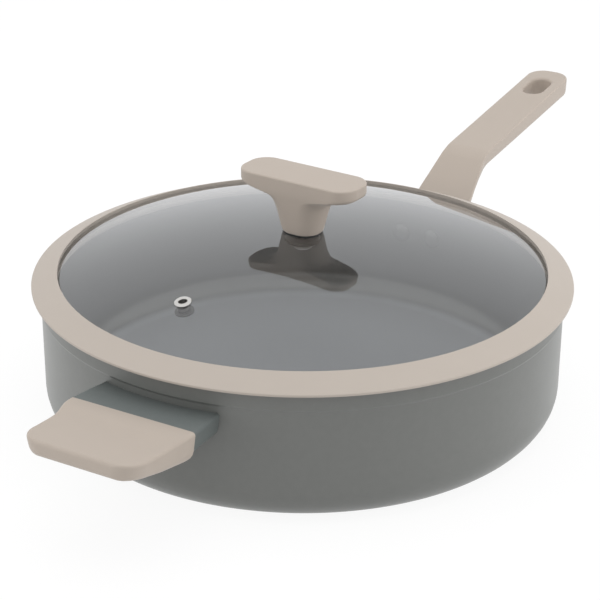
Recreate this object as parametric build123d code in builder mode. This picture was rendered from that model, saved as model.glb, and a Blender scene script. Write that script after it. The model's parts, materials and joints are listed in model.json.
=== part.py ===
from build123d import *

import math
import os

# Saute pan with a domed glass lid, taken apart into its separate pieces.
# Lengths are in millimetres and angles in degrees. The origin is the centre of the flat
# underside, Z is up, X runs out along the long handle, and the helper handle is opposite it.

os.makedirs("parts", exist_ok=True)

# Cuts run this far past the faces that they open
overrun = 5.0

# Pan body
pan_radius = 140.0
pan_wall = 3.0
base_thickness = 4.5
pan_height = 73.0
bottom_round = 18.0
band_height = 10.3
band_flare = 0.5
band_flare_rise = 0.8
rim_round = 0.6

# Induction disc pressed into the underside
disc_margin = 17.0
disc_thickness = 1.2
disc_clearance = 0.15
groove_count = 3
groove_pitch = 26.0
groove_width = 2.4
groove_depth = 0.4

# Rivets that hold both handle brackets
rivet_radius = 2.5
rivet_clearance = 0.05
rivet_head_radius = 5.5
rivet_head_height = 2.2
rivet_tail_radius = 3.7
rivet_tail_height = 1.6
handle_rivet_drop = 25.8
handle_rivet_spacing = 20.0
helper_rivet_drop = 21.2
helper_rivet_spacing = 40.0

# Long handle bracket
bracket_wall = 3.0
flange_width = 50.0
flange_height = 27.0
flange_corner = 6.0
neck_width = 38.0
neck_depth = 16.0
seam_run = 20.0
root_drop = 19.0
tongue_thickness = 4.0
tongue_width = 15.0
tongue_length = 34.0
tongue_depth = 5.2
tongue_clearance = 0.2

# Long handle grip
rise_angle = 34.6
grip_angle = 6.3
kink_run = 43.0
kink_rise = 28.0
tip_run = 135.0
root_bend_round = 6.0
kink_round = 30.0
shoulder_run = 14.0
shoulder_width = 36.8
shoulder_narrowing = 10.0
shoulder_depth = 12.4
waist_run = 31.0
waist_width = 32.0
waist_narrowing = 7.0
waist_depth = 11.6
kink_width = 28.8
kink_narrowing = 3.0
kink_depth = 10.6
tip_width = 28.0
tip_narrowing = 2.0
tip_depth = 12.8
tip_corner = 10.0
tip_chin = 9.0
grip_top_round = 1.6
grip_bottom_round = 3.0

# Sections of the grip along each straight run, each bend and its rounded tip
run_steps = 3
bend_steps = 5
tip_steps = 5

# Hanging slot near the tip
slot_length = 26.0
slot_width = 13.8
slot_from_tip = 26.0
slot_round = 1.6

# Screw that clamps the long grip to its tongue, put in from below
grip_screw_radius = 2.5
grip_screw_head_radius = 4.4
grip_screw_head_height = 2.1
grip_screw_run = 19.0
grip_screw_seat = 1.6

# Shared by all the screws
shank_clearance = 0.3
head_clearance = 0.4
drive_radius = 1.5
drive_depth = 1.2

# Helper handle bracket
helper_slope = 3.0
helper_wall_half_width = 34.4
helper_splay = 4.4
helper_side_draft = 8.0
helper_drop = 13.3
helper_depth = 12.4
helper_seam_run = 20.4
helper_top_round = 2.0
helper_bottom_round = 3.6
helper_grip_bottom_round = 4.6
helper_tongue_width = 46.0
helper_tongue_thickness = 3.6
helper_tongue_length = 25.0
helper_tongue_drop = 4.0

# Helper handle grip
helper_grip_run = 46.8
helper_grip_depth = 15.4
helper_flat_run = 6.0
helper_dip_run = 12.0
helper_dip = 1.7
helper_front_drop = 1.1
helper_front_thickness = 8.1
helper_neck_run = 15.0
helper_waist_inset = 2.6
helper_front_corner = 12.0
helper_waist_round = 22.0

# Screws that clamp the helper grip, put in from below
helper_screw_radius = 2.0
helper_screw_head_radius = 3.5
helper_screw_head_height = 1.6
helper_screw_spacing = 28.0
helper_screw_run = 14.0
helper_screw_seat = 1.5

# Lid glass
crown_height = 25.5
glass_rise = 22.0
glass_grip = 4.6
glass_thickness = 4.0
glass_hole_radius = 3.6

# Lid rim
lip_overhang = 4.9
lip_height = 1.3
rim_width = 14.0
rim_inner_height = 7.2
under_lip_step = 0.7
under_lip_depth = 2.4
skirt_gap = 0.7
skirt_depth = 4.0
skirt_width = 3.4
rim_edge_round = 0.4

# Steam vent
vent_from_rim = 37.0
vent_turn = 170.6
vent_flange_radius = 4.65
vent_flange_height = 0.8
vent_flange_taper = 30.0
vent_barrel_radius = 3.1
vent_bore_radius = 2.2
vent_clearance = 0.1
vent_roll_radius = 4.3
vent_roll_height = 0.7
vent_washer_radius = 5.0
vent_washer_thickness = 0.8

# Knob
knob_turn = -3.0
knob_lift = 0.6
knob_height = 31.3
knob_length = 71.0
knob_width = 27.0
knob_thickness = 7.4
knob_corner = 9.0
knob_bow = 1.6
knob_stem_length = 22.0
knob_stem_width = 19.0
knob_stem_flat = 0.4
knob_spread_inset = 2.5
knob_top_round = 0.9

# Shares of the way from the stem's foot to the bar: height, added width, added length
knob_stem_shares = (
    (0.0, 0.0, 0.0),
    (0.453, 0.55, 0.11),
    (0.72, 0.8, 0.2),
    (0.889, 0.92, 0.42),
    (1.0, 1.0, 1.0),
)

# Knob fixing through the glass
insert_radius = 4.2
insert_length = 14.0
insert_flange_radius = 5.6
insert_flange_height = 1.5
thread_radius = 2.5
knob_screw_length = 15.0
knob_screw_head_radius = 5.2
knob_screw_head_height = 3.0
gasket_inset = 1.0
gasket_radius = 9.5
gasket_thickness = 1.6
washer_radius = 8.0
washer_thickness = 1.0

# Faces that lean by more than this from level count as sides, in degrees
side_lean = 45.0

# Lengths worked out from the sizes above
inner_radius = pan_radius - pan_wall
band_radius = pan_radius + band_flare
flange_radius = pan_radius + bracket_wall
disc_radius = pan_radius - bottom_round - disc_margin
handle_rivet_height = pan_height - handle_rivet_drop
helper_rivet_height = pan_height - helper_rivet_drop
seam_reach = pan_radius + seam_run
kink_reach = seam_reach + kink_run
tip_reach = kink_reach + tip_run
root_top = pan_height - root_drop
kink_height = root_top + kink_rise
neck_bottom = root_top - neck_depth
helper_widening = math.tan(math.radians(helper_splay))
helper_seam_half_width = helper_wall_half_width + helper_seam_run * helper_widening
helper_grip_half_width = helper_seam_half_width - helper_waist_inset
helper_seam_reach = pan_radius + helper_seam_run
helper_reach = helper_seam_reach + helper_grip_run
helper_top = pan_height - helper_drop
helper_bottom = helper_top - helper_depth
helper_grip_bottom = helper_top - helper_grip_depth
helper_draft_inset = helper_depth * math.tan(math.radians(helper_side_draft))
helper_tongue_top = helper_top - helper_tongue_drop
helper_front_top = helper_top - helper_front_drop
helper_front_bottom = helper_front_top - helper_front_thickness
helper_bottom_rise = (helper_front_bottom - helper_grip_bottom) / helper_grip_run
lip_radius = pan_radius + lip_overhang
rim_inner_radius = lip_radius - rim_width
under_lip_radius = rim_inner_radius + under_lip_step
glass_radius = rim_inner_radius + glass_grip
glass_crown = pan_height + crown_height
knob_base = glass_crown + knob_lift
knob_top = knob_base + knob_height
sphere_radius = (glass_radius**2 + glass_rise**2) / (2 * glass_rise)
sphere_centre = glass_crown - sphere_radius
rise_run = (kink_height - root_top) / math.tan(math.radians(rise_angle))
bend_reach = kink_reach - rise_run


# Points and planes along the top line of the long grip
def rise_point(run):
    angle = math.radians(rise_angle)
    return bend_reach + run * math.cos(angle), root_top + run * math.sin(angle)


def grip_point(reach):
    return reach, kink_height + (reach - kink_reach) * math.tan(math.radians(grip_angle))


# Section of the long grip and of its bracket's neck: a slab that hangs below its plane's
# origin, narrower below than above
def hanging_slab(plane, width, narrowing, depth):
    with BuildSketch(plane) as slab:
        Polygon(
            (-width / 2, 0),
            (width / 2, 0),
            (width / 2 - narrowing / 2, -depth),
            (narrowing / 2 - width / 2, -depth),
            align=None,
        )
        fillet(slab.vertices().group_by(Axis.Y)[-1], grip_top_round)
        fillet(slab.vertices().group_by(Axis.Y)[0], min(grip_bottom_round, depth / 3))
    return slab.sketch


# Planes that look out of the pan at the height of the rivets, one for each rivet
def rivet_planes(height, spacing, facing):
    planes = []
    for side in (-1, 1):
        turn = side * math.asin(spacing / 2 / inner_radius)
        ahead = (facing * math.cos(turn), math.sin(turn), 0)
        planes.append(Plane(origin=(0, 0, height), x_dir=(0, 0, 1), z_dir=ahead))
    return planes


handle_rivet_planes = rivet_planes(handle_rivet_height, handle_rivet_spacing, 1)
helper_rivet_planes = rivet_planes(helper_rivet_height, helper_rivet_spacing, -1)
all_rivet_planes = handle_rivet_planes + helper_rivet_planes

# One rivet standing on its own axis, from the domed head inside the pan to the set tail
head_seat = math.sqrt(inner_radius**2 - rivet_head_radius**2)
tail_seat = flange_radius
with BuildPart() as rivet_form:
    with BuildSketch(Plane.XZ) as rivet_section:
        with BuildLine() as rivet_outline:
            Polyline(
                (0, head_seat - rivet_head_height),
                (0, tail_seat + rivet_tail_height),
                (rivet_tail_radius - rivet_tail_height / 2, tail_seat + rivet_tail_height),
                (rivet_tail_radius, tail_seat + rivet_tail_height / 2),
                (rivet_tail_radius, tail_seat),
                (rivet_radius, tail_seat),
                (rivet_radius, head_seat),
                (rivet_head_radius, head_seat),
            )
            RadiusArc(
                (rivet_head_radius, head_seat),
                (0, head_seat - rivet_head_height),
                (rivet_head_radius**2 + rivet_head_height**2) / (2 * rivet_head_height),
            )
        make_face()
    revolve(axis=Axis.Z)

# Pan body, spun from one profile, with a recess below and four rivet holes
with BuildPart() as pan_body:
    with BuildSketch(Plane.XZ) as body_section:
        with BuildLine() as body_outline:
            Polyline(
                (0, 0),
                (pan_radius, 0),
                (pan_radius, pan_height - band_height),
                (band_radius, pan_height - band_height + band_flare_rise),
                (pan_radius, pan_height),
                (inner_radius, pan_height),
                (inner_radius, base_thickness),
                (0, base_thickness),
                close=True,
            )
        make_face()
        outer_corner = body_section.vertices().filter_by_position(Axis.X, pan_radius, pan_radius)
        fillet(outer_corner.filter_by_position(Axis.Y, 0, 0), bottom_round)
        inner_corner = body_section.vertices().filter_by_position(Axis.X, inner_radius, inner_radius)
        low_corner = inner_corner.filter_by_position(Axis.Y, base_thickness, base_thickness)
        fillet(low_corner, bottom_round - pan_wall)
        fillet(body_section.vertices().group_by(Axis.Y)[-1], rim_round)
    revolve(axis=Axis.Z)
    with BuildSketch(Plane.XY):
        Circle(disc_radius + disc_clearance)
    extrude(amount=disc_thickness, mode=Mode.SUBTRACT)
    for plane in all_rivet_planes:
        with BuildSketch(plane.offset(head_seat - overrun)):
            Circle(rivet_radius + rivet_clearance)
        extrude(amount=bracket_wall + 2 * overrun, mode=Mode.SUBTRACT)
pan_body.part.label = "pan_body"
export_step(pan_body.part, "parts/pan_body.step")

# Induction disc, flush with the underside, with turned grooves
with BuildPart() as base_disc:
    with BuildSketch(Plane.XY):
        Circle(disc_radius)
    extrude(amount=disc_thickness)
    for ring in range(1, groove_count + 1):
        with BuildSketch(Plane.XY):
            Circle(ring * groove_pitch + groove_width / 2)
            Circle(ring * groove_pitch - groove_width / 2, mode=Mode.SUBTRACT)
        extrude(amount=groove_depth, mode=Mode.SUBTRACT)
base_disc.part.label = "base_disc"
export_step(base_disc.part, "parts/base_disc.step")

# Rivets of each handle, one group of solids for each bracket
with BuildPart() as handle_rivets:
    with Locations(*handle_rivet_planes):
        add(rivet_form.part)
handle_rivets.part.label = "handle_rivets"
export_step(handle_rivets.part, "parts/handle_rivets.step")

with BuildPart() as helper_rivets:
    with Locations(*helper_rivet_planes):
        add(rivet_form.part)
helper_rivets.part.label = "helper_rivets"
export_step(helper_rivets.part, "parts/helper_rivets.step")


# Side outline of the tongue that carries the long grip, bent from level to the rise
def tongue_outline(thickness, length):
    rise = math.radians(rise_angle)
    half = thickness / 2
    middle = (root_top + neck_bottom) / 2
    start_x, start_z = rise_point(0)
    start_x += tongue_depth * math.sin(rise)
    start_z -= tongue_depth * math.cos(rise)
    bend_x = start_x + (middle - start_z) / math.tan(rise)
    end_x = bend_x + length * math.cos(rise)
    end_z = middle + length * math.sin(rise)
    mitre = half * math.tan(rise / 2)
    return [
        (seam_reach - bracket_wall, middle - half),
        (bend_x + mitre, middle - half),
        (end_x + half * math.sin(rise), end_z - half * math.cos(rise)),
        (end_x - half * math.sin(rise), end_z + half * math.cos(rise)),
        (bend_x - mitre, middle + half),
        (seam_reach - bracket_wall, middle + half),
    ]


# Plane across the rise where the grip screw runs, its Z square to the top face
screw_x, screw_z = rise_point(grip_screw_run)
screw_plane = Plane(
    origin=(screw_x, 0, screw_z),
    x_dir=(0, 1, 0),
    z_dir=(-math.sin(math.radians(rise_angle)), 0, math.cos(math.radians(rise_angle))),
)
grip_screw_top = -tongue_depth - tongue_thickness / 2 - tongue_clearance - grip_screw_seat

# Long handle bracket: curved flange, hollow neck open below, and the bent tongue
neck_plane = Plane(origin=(inner_radius, 0, root_top), x_dir=(0, 1, 0), z_dir=(1, 0, 0))
neck_section = hanging_slab(neck_plane, neck_width, 0, neck_depth)
with BuildPart() as handle_bracket:
    with BuildSketch(Plane.YZ.offset(inner_radius)):
        with Locations((0, handle_rivet_height)):
            RectangleRounded(flange_width, flange_height, flange_corner)
    extrude(amount=bracket_wall + overrun)
    with BuildSketch(Plane.XY.offset(neck_bottom - overrun)):
        Circle(flange_radius)
    extrude(amount=flange_height + 2 * overrun, mode=Mode.INTERSECT)
    extrude(neck_section, amount=seam_reach - inner_radius)
    with BuildSketch(Plane.XY.offset(neck_bottom - overrun)):
        with Locations((seam_reach - bracket_wall, 0)):
            Rectangle(
                seam_reach - inner_radius,
                neck_width - 2 * bracket_wall,
                align=(Align.MAX, Align.CENTER),
            )
        Circle(flange_radius, mode=Mode.SUBTRACT)
    extrude(amount=neck_depth + overrun - bracket_wall, mode=Mode.SUBTRACT)
    with BuildSketch(Plane.XZ):
        Polygon(*tongue_outline(tongue_thickness, tongue_length), align=None)
    extrude(amount=tongue_width / 2, both=True)
    with BuildSketch(Plane.XY):
        Circle(pan_radius)
    extrude(amount=pan_height, mode=Mode.SUBTRACT)
    for plane in handle_rivet_planes:
        with BuildSketch(plane.offset(inner_radius)):
            Circle(rivet_radius + rivet_clearance)
        extrude(amount=bracket_wall + pan_wall + overrun / 2, mode=Mode.SUBTRACT)
    with BuildSketch(screw_plane.offset(-tongue_depth)):
        Circle(grip_screw_radius)
    extrude(amount=tongue_thickness, both=True, mode=Mode.SUBTRACT)
handle_bracket.part.label = "handle_bracket"
export_step(handle_bracket.part, "parts/handle_bracket.step")

# Plane of the hanging slot, on the top line of the grip
slot_x, slot_z = grip_point(tip_reach - slot_from_tip)
slot_plane = Plane(
    origin=(slot_x, 0, slot_z),
    x_dir=(math.cos(math.radians(grip_angle)), 0, math.sin(math.radians(grip_angle))),
    z_dir=(-math.sin(math.radians(grip_angle)), 0, math.cos(math.radians(grip_angle))),
)

# Top line of the long grip: level, then up the rise, then at a gentle slope to the tip
with BuildLine(Plane.XZ) as top_line:
    FilletPolyline(
        (seam_reach - overrun, root_top),
        (bend_reach, root_top),
        (kink_reach, kink_height),
        grip_point(tip_reach),
        radius=(root_bend_round, kink_round),
    )
top_wire = top_line.wire()

# Width, narrowing and depth of the grip, by the distance from the pan's axis
grip_sizes = (
    (seam_reach, neck_width, 0.0, neck_depth),
    (seam_reach + shoulder_run, shoulder_width, shoulder_narrowing, shoulder_depth),
    (seam_reach + waist_run, waist_width, waist_narrowing, waist_depth),
    (kink_reach, kink_width, kink_narrowing, kink_depth),
    (tip_reach, tip_width, tip_narrowing, tip_depth),
)


# Sizes at one reach, on straight lines between those given
def sizes_at(reach):
    if reach <= seam_reach:
        return grip_sizes[0][1:]
    for (start, *sizes), (end, *next_sizes) in zip(grip_sizes, grip_sizes[1:]):
        if reach <= end:
            share = (reach - start) / (end - start)
            return [a + share * (b - a) for a, b in zip(sizes, next_sizes)]
    return grip_sizes[-1][1:]


# One section square to the top line; the tip draws in at its corners and below its chin
def grip_section(run, drawn_in):
    point = top_wire.position_at(run, position_mode=PositionMode.LENGTH)
    ahead = top_wire.tangent_at(run, position_mode=PositionMode.LENGTH)
    width, narrowing, depth = sizes_at(point.X)
    return hanging_slab(
        Plane(origin=point, x_dir=(0, 1, 0), z_dir=ahead),
        width - 2 * tip_corner * drawn_in,
        narrowing * (1 - drawn_in),
        depth - tip_chin * drawn_in,
    )


# Sections along the whole grip, closest together where it bends
grip_sections = []
run = 0.0
for stretch in top_line.edges().sort_by(Axis.X)[:-1]:
    steps = bend_steps if stretch.geom_type == GeomType.CIRCLE else run_steps
    for step in range(steps):
        grip_sections.append(grip_section(run + stretch.length * step / steps, 0))
    run += stretch.length
grip_sections.append(grip_section(run, 0))
for step in range(tip_steps + 1):
    angle = math.pi / 2 * step / tip_steps
    run = top_wire.length - tip_corner * (1 - math.sin(angle))
    grip_sections.append(grip_section(run, 1 - math.cos(angle)))

with BuildPart() as handle_grip:
    loft(grip_sections, ruled=True)
    split(bisect_by=Plane.YZ.offset(seam_reach))
    with BuildSketch(Plane.XZ):
        Polygon(
            *tongue_outline(
                tongue_thickness + 2 * tongue_clearance,
                tongue_length + tongue_clearance,
            ),
            align=None,
        )
    extrude(amount=tongue_width / 2 + tongue_clearance, both=True, mode=Mode.SUBTRACT)
    with BuildSketch(screw_plane.offset(-tongue_depth)):
        Circle(grip_screw_radius + shank_clearance)
    extrude(amount=-neck_depth, mode=Mode.SUBTRACT)
    with BuildSketch(screw_plane.offset(grip_screw_top)):
        Circle(grip_screw_head_radius + head_clearance)
    extrude(amount=-neck_depth, mode=Mode.SUBTRACT)
    with BuildSketch(slot_plane):
        SlotOverall(slot_length, slot_width)
    extrude(amount=2 * tip_depth, both=True, mode=Mode.SUBTRACT)
    slot_rims = handle_grip.edges(Select.LAST).filter_by(
        lambda edge: abs(edge.tangent_at(0).dot(slot_plane.z_dir)) < math.sin(math.radians(side_lean))
    )
    fillet(slot_rims, slot_round)
handle_grip.part.label = "handle_grip"
export_step(handle_grip.part, "parts/handle_grip.step")

# Screw of the long grip, its head in a bore below, reaching through the tongue
with BuildPart() as handle_screw:
    with BuildSketch(screw_plane.offset(grip_screw_top)):
        Circle(grip_screw_head_radius)
    extrude(amount=-grip_screw_head_height)
    with BuildSketch(screw_plane.offset(grip_screw_top)):
        Circle(grip_screw_radius)
    extrude(amount=grip_screw_seat + tongue_clearance + tongue_thickness)
    with BuildSketch(screw_plane.offset(grip_screw_top - grip_screw_head_height)):
        RegularPolygon(drive_radius, 6)
    extrude(amount=drive_depth, mode=Mode.SUBTRACT)
handle_screw.part.label = "handle_screw"
export_step(handle_screw.part, "parts/handle_screw.step")


# Long edges of a helper piece that run from the pan outwards
def outward_edges(piece):
    return piece.edges().filter_by(
        lambda edge: abs(edge.tangent_at(0).X) > abs(edge.tangent_at(0).Y)
    )


# The helper handle is drawn level, then tilted up about this line where it leaves the wall
helper_tilt = Axis((-pan_radius, 0, helper_top), (0, 1, 0))
helper_screw_reach = -helper_seam_reach - helper_screw_run
helper_screw_spots = [
    (helper_screw_reach, -helper_screw_spacing / 2),
    (helper_screw_reach, helper_screw_spacing / 2),
]

# Level form of the helper bracket: a block with drafted sides and a flat tongue
helper_back_reach = math.sqrt(inner_radius**2 - helper_wall_half_width**2)
helper_back_half_width = helper_wall_half_width - (pan_radius - helper_back_reach) * helper_widening
helper_far_half_width = helper_seam_half_width + overrun * helper_widening
with BuildPart() as level_bracket:
    with BuildSketch(Plane.XY.offset(helper_top)):
        Polygon(
            (-helper_back_reach, -helper_back_half_width),
            (-helper_back_reach, helper_back_half_width),
            (-helper_seam_reach - overrun, helper_far_half_width),
            (-helper_seam_reach - overrun, -helper_far_half_width),
            align=None,
        )
    extrude(amount=-helper_depth, taper=helper_side_draft)
    split(bisect_by=Plane.YZ.offset(-helper_seam_reach))
    fillet(outward_edges(level_bracket).group_by(Axis.Z)[-1], helper_top_round)
    fillet(outward_edges(level_bracket).group_by(Axis.Z)[0], helper_bottom_round)
    with BuildSketch(Plane.XY.offset(helper_tongue_top)):
        with Locations((-helper_seam_reach + bracket_wall, 0)):
            Rectangle(
                bracket_wall + helper_tongue_length,
                helper_tongue_width,
                align=(Align.MAX, Align.CENTER),
            )
    extrude(amount=-helper_tongue_thickness)
    with BuildSketch(Plane.XY.offset(helper_bottom)):
        with Locations(*helper_screw_spots):
            Circle(helper_screw_radius)
    extrude(amount=helper_depth, mode=Mode.SUBTRACT)

# Helper bracket: tilted, hollowed below, shaped to the wall and drilled for its rivets
with BuildPart() as helper_bracket:
    add(level_bracket.part.rotate(helper_tilt, helper_slope))
    with BuildSketch(Plane.XY.offset(helper_bottom - overrun)):
        with Locations((-helper_seam_reach + bracket_wall, 0)):
            Rectangle(
                helper_wall_half_width,
                2 * (helper_wall_half_width - bracket_wall - helper_draft_inset),
                align=(Align.MIN, Align.CENTER),
            )
        Circle(flange_radius, mode=Mode.SUBTRACT)
    extrude(amount=helper_depth + overrun - bracket_wall, mode=Mode.SUBTRACT)
    with BuildSketch(Plane.XY):
        Circle(pan_radius)
    extrude(amount=pan_height, mode=Mode.SUBTRACT)
    for plane in helper_rivet_planes:
        with BuildSketch(plane.offset(inner_radius)):
            Circle(rivet_radius + rivet_clearance)
        extrude(amount=bracket_wall + pan_wall + overrun / 2, mode=Mode.SUBTRACT)
helper_bracket.part.label = "helper_bracket"
export_step(helper_bracket.part, "parts/helper_bracket.step")


# Edges where the faces of one group meet the faces of another
def shared_edges(first_faces, second_faces):
    second_edges = second_faces.edges()
    return ShapeList(edge for edge in first_faces.edges() if edge in second_edges)


# Faces of a grip that look up, down and sideways, apart from the one at its seam
def grip_faces(grip, seam_face):
    rest = grip.faces().filter_by(lambda face: face != seam_face)
    upper = rest.filter_by(lambda face: face.normal_at().Z > math.sin(math.radians(side_lean)))
    lower = rest.filter_by(lambda face: face.normal_at().Z < -math.sin(math.radians(side_lean)))
    sides = rest.filter_by(lambda face: face not in upper and face not in lower)
    return upper, lower, sides


# Level form of the helper grip, crossed from its side outline and its drafted plan outline
helper_flat_end = -helper_seam_reach - helper_flat_run
helper_dip_end = helper_flat_end - helper_dip_run
helper_neck_end = -helper_seam_reach - helper_neck_run
helper_screw_top = (
    helper_tongue_top - helper_tongue_thickness - tongue_clearance - helper_screw_seat
)
with BuildPart() as level_grip:
    with BuildSketch(Plane.XZ):
        with BuildLine():
            Polyline(
                (helper_flat_end, helper_top),
                (2 * overrun - helper_seam_reach, helper_top),
                (
                    2 * overrun - helper_seam_reach,
                    helper_grip_bottom - 2 * overrun * helper_bottom_rise,
                ),
                (-helper_reach, helper_front_bottom),
                (-helper_reach, helper_front_top),
                (helper_dip_end, helper_top - helper_dip),
            )
            Bezier(
                (helper_dip_end, helper_top - helper_dip),
                ((helper_dip_end + helper_flat_end) / 2, helper_top - helper_dip),
                ((helper_dip_end + helper_flat_end) / 2, helper_top),
                (helper_flat_end, helper_top),
            )
        make_face()
    extrude(amount=helper_seam_half_width, both=True)
    with BuildSketch(Plane.XY.offset(helper_top)) as helper_plan:
        Polygon(
            (-helper_seam_reach + 4 * overrun, -helper_seam_half_width),
            (-helper_seam_reach + 4 * overrun, helper_seam_half_width),
            (helper_flat_end, helper_seam_half_width),
            (helper_neck_end, helper_grip_half_width),
            (-helper_reach, helper_grip_half_width),
            (-helper_reach, -helper_grip_half_width),
            (helper_neck_end, -helper_grip_half_width),
            (helper_flat_end, -helper_seam_half_width),
            align=None,
        )
        fillet(helper_plan.vertices().group_by(Axis.X)[0], helper_front_corner)
        for waist_x in (helper_flat_end, helper_neck_end):
            at_waist = helper_plan.vertices().filter_by_position(Axis.X, waist_x, waist_x)
            fillet(at_waist, helper_waist_round)
    extrude(amount=-helper_grip_depth - overrun, taper=helper_side_draft, mode=Mode.INTERSECT)
    upper, lower, sides = grip_faces(level_grip, level_grip.faces().sort_by(Axis.X)[-1])
    fillet(shared_edges(upper, sides), helper_top_round)
    upper, lower, sides = grip_faces(level_grip, level_grip.faces().sort_by(Axis.X)[-1])
    fillet(shared_edges(lower, sides), helper_grip_bottom_round)
    split(bisect_by=Plane.YZ.offset(-helper_seam_reach), keep=Keep.BOTTOM)
    with BuildSketch(Plane.XY.offset(helper_tongue_top + tongue_clearance)):
        with Locations((-helper_seam_reach, 0)):
            Rectangle(
                helper_tongue_length + tongue_clearance,
                helper_tongue_width + 2 * tongue_clearance,
                align=(Align.MAX, Align.CENTER),
            )
    extrude(amount=-helper_tongue_thickness - 2 * tongue_clearance, mode=Mode.SUBTRACT)
    with BuildSketch(Plane.XY.offset(helper_tongue_top)):
        with Locations(*helper_screw_spots):
            Circle(helper_screw_radius + shank_clearance)
    extrude(amount=-helper_grip_depth, mode=Mode.SUBTRACT)
    with BuildSketch(Plane.XY.offset(helper_screw_top)):
        with Locations(*helper_screw_spots):
            Circle(helper_screw_head_radius + head_clearance)
    extrude(amount=-helper_grip_depth, mode=Mode.SUBTRACT)

# Helper grip, tilted with its bracket
with BuildPart() as helper_grip:
    add(level_grip.part.rotate(helper_tilt, helper_slope))
helper_grip.part.label = "helper_grip"
export_step(helper_grip.part, "parts/helper_grip.step")

# Screws of the helper grip, one group of two, tilted the same way
with BuildPart() as level_screws:
    with BuildSketch(Plane.XY.offset(helper_screw_top)):
        with Locations(*helper_screw_spots):
            Circle(helper_screw_head_radius)
    extrude(amount=-helper_screw_head_height)
    with BuildSketch(Plane.XY.offset(helper_screw_top)):
        with Locations(*helper_screw_spots):
            Circle(helper_screw_radius)
    extrude(amount=helper_screw_seat + tongue_clearance + helper_tongue_thickness)
    with BuildSketch(Plane.XY.offset(helper_screw_top - helper_screw_head_height)):
        with Locations(*helper_screw_spots):
            RegularPolygon(drive_radius, 6)
    extrude(amount=drive_depth, mode=Mode.SUBTRACT)

with BuildPart() as helper_screws:
    add(level_screws.part.rotate(helper_tilt, helper_slope))
helper_screws.part.label = "helper_screws"
export_step(helper_screws.part, "parts/helper_screws.step")


# Height of the domed glass above and below, at a distance from its centre
def glass_above(distance):
    return sphere_centre + math.sqrt(sphere_radius**2 - distance**2)


def glass_below(distance):
    return sphere_centre + math.sqrt((sphere_radius - glass_thickness) ** 2 - distance**2)


# Plane on the glass at the steam vent, its Z square to the dome
vent_reach = rim_inner_radius - vent_from_rim
vent_along = vent_reach * math.cos(math.radians(vent_turn))
vent_across = vent_reach * math.sin(math.radians(vent_turn))
vent_spot = (vent_along, vent_across, glass_above(vent_reach))
vent_out = Vector(*vent_spot) - Vector(0, 0, sphere_centre)
vent_plane = Plane(origin=vent_spot, x_dir=vent_out.cross(Vector(0, 1, 0)), z_dir=vent_out)

# Section of the domed glass, which also cuts its groove in the rim
with BuildSketch(Plane.XZ) as glass_section:
    with Locations((0, sphere_centre)):
        Circle(sphere_radius)
        Circle(sphere_radius - glass_thickness, mode=Mode.SUBTRACT)
    with Locations((0, glass_below(glass_radius))):
        Rectangle(
            glass_radius,
            glass_rise + 2 * glass_thickness,
            align=(Align.MIN, Align.MIN),
            mode=Mode.INTERSECT,
        )

# Domed lid glass with holes for the knob's screw and the steam vent
with BuildPart() as lid_glass:
    revolve(glass_section.sketch, axis=Axis.Z)
    with BuildSketch(Plane.XY.offset(glass_crown - 2 * glass_thickness)):
        Circle(glass_hole_radius)
    extrude(amount=2 * glass_thickness, mode=Mode.SUBTRACT)
    with BuildSketch(vent_plane.offset(glass_thickness / 2)):
        Circle(vent_barrel_radius + vent_clearance)
    extrude(amount=-2 * glass_thickness, mode=Mode.SUBTRACT)
lid_glass.part.label = "lid_glass"
export_step(lid_glass.part, "parts/lid_glass.step")

# Silicone rim: sloped lip over the pan, groove for the glass, short skirt inside the mouth
skirt_outer = inner_radius - skirt_gap
groove_middle = (glass_above(under_lip_radius) + glass_below(under_lip_radius)) / 2
with BuildPart() as lid_rim:
    with BuildSketch(Plane.XZ) as rim_section:
        Polygon(
            (lip_radius, pan_height),
            (lip_radius, pan_height + lip_height),
            (rim_inner_radius, pan_height + rim_inner_height),
            (rim_inner_radius, groove_middle),
            (under_lip_radius, groove_middle),
            (under_lip_radius, glass_below(under_lip_radius) - under_lip_depth),
            (skirt_outer - skirt_width, pan_height - skirt_depth),
            (skirt_outer, pan_height - skirt_depth),
            (skirt_outer, pan_height),
            align=None,
        )
        lip_corners = rim_section.vertices().group_by(Axis.X)[-1]
        crest = rim_section.vertices().sort_by(Axis.Y)[-1]
        fillet([*lip_corners, crest], rim_edge_round)
    revolve(axis=Axis.Z)
    revolve(glass_section.sketch, axis=Axis.Z, mode=Mode.SUBTRACT)
lid_rim.part.label = "lid_rim"
export_step(lid_rim.part, "parts/lid_rim.step")

# Steam vent eyelet, flanged above the glass and rolled out below its washer
vent_washer_sag = vent_washer_radius**2 / (2 * (sphere_radius - glass_thickness))
vent_washer_top = -glass_thickness - vent_washer_sag
vent_roll_top = vent_washer_top - vent_washer_thickness
with BuildPart() as vent_eyelet:
    with BuildSketch(vent_plane):
        Circle(vent_flange_radius)
    extrude(amount=vent_flange_height, taper=vent_flange_taper)
    with BuildSketch(vent_plane):
        Circle(vent_barrel_radius)
    extrude(amount=vent_roll_top)
    with BuildSketch(vent_plane.offset(vent_roll_top)):
        Circle(vent_roll_radius)
    extrude(amount=-vent_roll_height)
    with BuildSketch(vent_plane.offset(vent_flange_height)):
        Circle(vent_bore_radius)
    extrude(amount=vent_roll_top - vent_flange_height - vent_roll_height, mode=Mode.SUBTRACT)
vent_eyelet.part.label = "vent_eyelet"
export_step(vent_eyelet.part, "parts/vent_eyelet.step")

# Soft washer between the glass and the rolled end of the eyelet
with BuildPart() as vent_washer:
    with BuildSketch(vent_plane.offset(vent_washer_top)):
        Circle(vent_washer_radius)
        Circle(vent_barrel_radius + vent_clearance, mode=Mode.SUBTRACT)
    extrude(amount=-vent_washer_thickness)
vent_washer.part.label = "vent_washer"
export_step(vent_washer.part, "parts/vent_washer.step")

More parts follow.
